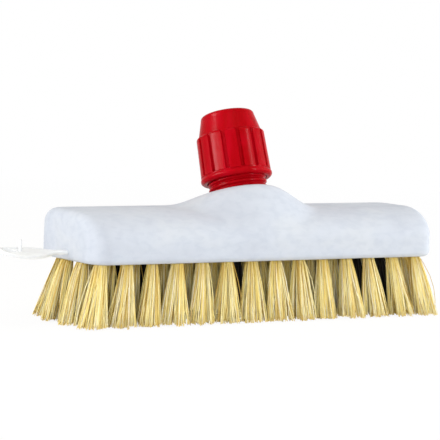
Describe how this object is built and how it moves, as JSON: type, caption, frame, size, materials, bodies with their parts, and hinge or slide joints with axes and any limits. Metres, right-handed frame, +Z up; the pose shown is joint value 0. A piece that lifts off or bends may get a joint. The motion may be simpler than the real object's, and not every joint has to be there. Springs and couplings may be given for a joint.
{
  "type": "deck brush",
  "caption": "Deck scrubbing brush: a plastic block with flared bristle tufts below, a tilted handle socket with a ribbed screw clamp nut on top, and a hang tab at one end.",
  "frame": {"origin": "under the middle of the whole brush, on the surface that the bristle tips stand on", "axes": "+X along the block, away from the hang tab; the front of the brush faces -Y; +Z up"},
  "size_m": [0.275, 0.0698, 0.1164],
  "materials": {
    "foam_plastic": "white foamed plastic, faintly marbled with blue-grey, matte",
    "red_plastic": "red moulded plastic, satin to glossy",
    "grey_plastic": "dark grey moulded plastic",
    "natural_bristle": "natural straw-coloured plant fibre",
    "dark_bristle": "dark grey to black fibre",
    "milky_plastic": "translucent milky moulded plastic"
  },
  "bodies": {
    "root": {"block": "foam_plastic", "threaded_socket": "red_plastic", "hang_tab": "milky_plastic", "front_inner_tuft_01": "natural_bristle", "front_inner_tuft_02": "natural_bristle", "front_inner_tuft_03": "natural_bristle", "front_inner_tuft_04": "natural_bristle", "front_inner_tuft_05": "natural_bristle", "front_inner_tuft_06": "natural_bristle", "front_inner_tuft_07": "dark_bristle", "front_inner_tuft_08": "natural_bristle", "front_inner_tuft_09": "natural_bristle", "front_inner_tuft_10": "natural_bristle", "front_inner_tuft_11": "natural_bristle", "front_inner_tuft_12": "dark_bristle", "front_inner_tuft_13": "dark_bristle", "front_inner_tuft_14": "natural_bristle", "front_outer_tuft_01": "natural_bristle", "front_outer_tuft_02": "natural_bristle", "front_outer_tuft_03": "natural_bristle", "front_outer_tuft_04": "natural_bristle", "front_outer_tuft_05": "natural_bristle", "front_outer_tuft_06": "natural_bristle", "front_outer_tuft_07": "natural_bristle", "front_outer_tuft_08": "natural_bristle", "front_outer_tuft_09": "natural_bristle", "front_outer_tuft_10": "natural_bristle", "front_outer_tuft_11": "natural_bristle", "front_outer_tuft_12": "natural_bristle", "front_outer_tuft_13": "natural_bristle", "front_outer_tuft_14": "natural_bristle", "rear_inner_tuft_01": "natural_bristle", "rear_inner_tuft_02": "natural_bristle", "rear_inner_tuft_03": "dark_bristle", "rear_inner_tuft_04": "dark_bristle", "rear_inner_tuft_05": "natural_bristle", "rear_inner_tuft_06": "natural_bristle", "rear_inner_tuft_07": "natural_bristle", "rear_inner_tuft_08": "natural_bristle", "rear_inner_tuft_09": "natural_bristle", "rear_inner_tuft_10": "natural_bristle", "rear_inner_tuft_11": "natural_bristle", "rear_inner_tuft_12": "natural_bristle", "rear_inner_tuft_13": "natural_bristle", "rear_inner_tuft_14": "natural_bristle", "rear_outer_tuft_01": "natural_bristle", "rear_outer_tuft_02": "natural_bristle", "rear_outer_tuft_03": "natural_bristle", "rear_outer_tuft_04": "natural_bristle", "rear_outer_tuft_05": "natural_bristle", "rear_outer_tuft_06": "natural_bristle", "rear_outer_tuft_07": "natural_bristle", "rear_outer_tuft_08": "natural_bristle", "rear_outer_tuft_09": "natural_bristle", "rear_outer_tuft_10": "natural_bristle", "rear_outer_tuft_11": "natural_bristle", "rear_outer_tuft_12": "natural_bristle", "rear_outer_tuft_13": "natural_bristle"},
    "collet": {"split_collet": "grey_plastic"},
    "nut": {"clamp_nut": "red_plastic"}
  },
  "joints": [
    {"name": "collet_travel", "type": "slide", "parent": "root", "child": "collet", "axis": [0, 0.3338, 0.9426], "range_m": [-0.0045, 0.006]},
    {"name": "nut_turn", "type": "hinge", "parent": "collet", "child": "nut", "pos_m": [0.01945, 0.00518, 0.0689], "axis": [0, 0.3338, 0.9426], "range_deg": [-540, 720]}
  ],
  "couplings": [
    {"joint": "nut_turn", "follows": "collet_travel", "rad_per_m": 2094.4}
  ]
}
